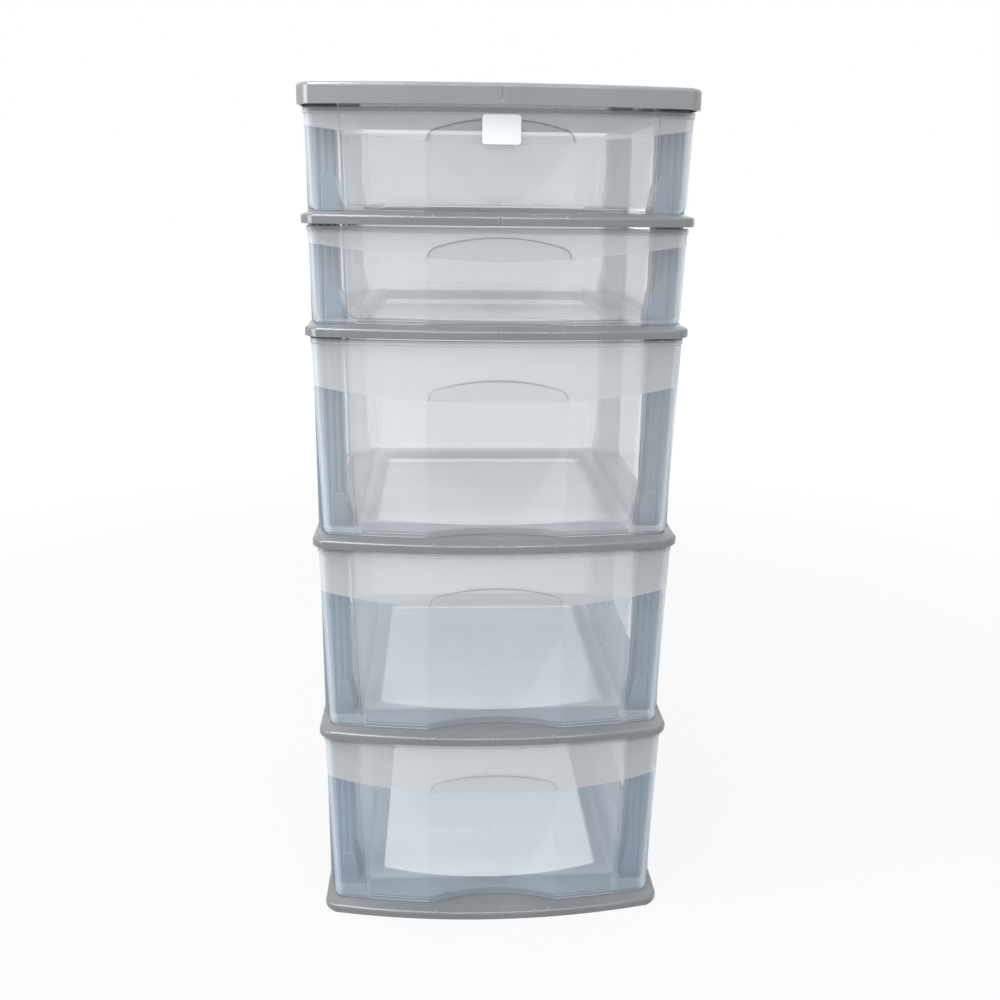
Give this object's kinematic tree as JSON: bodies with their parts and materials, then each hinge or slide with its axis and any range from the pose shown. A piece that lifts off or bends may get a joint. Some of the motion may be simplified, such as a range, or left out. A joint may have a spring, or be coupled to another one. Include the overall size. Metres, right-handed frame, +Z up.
{
  "type": "plastic drawer tower",
  "caption": "Tall free-standing tower of clear plastic drawers on grey moulded shelves and posts, with bowed fronts and scooped finger pulls.",
  "frame": {"origin": "on the floor under the middle of the tower's bounding box", "axes": "+Z up, drawers pull out towards -Y, +X to the right when seen from the back"},
  "size_m": [0.39, 0.45, 0.9065],
  "materials": {
    "grey_plastic": "moulded polypropylene, satin silver-grey",
    "clear_plastic": "clear moulded plastic, frosted over the upper part of each face",
    "label": "blank paper sticker"
  },
  "bodies": {
    "tower_frame": {"base_shelf": "grey_plastic", "shelf_4": "grey_plastic", "shelf_3": "grey_plastic", "shelf_2": "grey_plastic", "shelf_1": "grey_plastic", "top_cover": "grey_plastic", "post_front_left_5": "grey_plastic", "post_front_right_5": "grey_plastic", "post_rear_left_5": "grey_plastic", "post_rear_right_5": "grey_plastic", "post_front_left_4": "grey_plastic", "post_front_right_4": "grey_plastic", "post_rear_left_4": "grey_plastic", "post_rear_right_4": "grey_plastic", "post_front_left_3": "grey_plastic", "post_front_right_3": "grey_plastic", "post_rear_left_3": "grey_plastic", "post_rear_right_3": "grey_plastic", "post_front_left_2": "grey_plastic", "post_front_right_2": "grey_plastic", "post_rear_left_2": "grey_plastic", "post_rear_right_2": "grey_plastic", "post_front_left_1": "grey_plastic", "post_front_right_1": "grey_plastic", "post_rear_left_1": "grey_plastic", "post_rear_right_1": "grey_plastic"},
    "drawer_1_body": {"drawer_1": "clear_plastic", "front_label": "label"},
    "drawer_2_body": {"drawer_2": "clear_plastic"},
    "drawer_3_body": {"drawer_3": "clear_plastic"},
    "drawer_4_body": {"drawer_4": "clear_plastic"},
    "drawer_5_body": {"drawer_5": "clear_plastic"}
  },
  "joints": [
    {"name": "drawer_1_slide", "type": "slide", "parent": "tower_frame", "child": "drawer_1_body", "axis": [0, -1, 0], "range_m": [0, 0.275]},
    {"name": "drawer_2_slide", "type": "slide", "parent": "tower_frame", "child": "drawer_2_body", "axis": [0, -1, 0], "range_m": [0, 0.275]},
    {"name": "drawer_3_slide", "type": "slide", "parent": "tower_frame", "child": "drawer_3_body", "axis": [0, -1, 0], "range_m": [0, 0.275]},
    {"name": "drawer_4_slide", "type": "slide", "parent": "tower_frame", "child": "drawer_4_body", "axis": [0, -1, 0], "range_m": [0, 0.275]},
    {"name": "drawer_5_slide", "type": "slide", "parent": "tower_frame", "child": "drawer_5_body", "axis": [0, -1, 0], "range_m": [0, 0.275]}
  ]
}
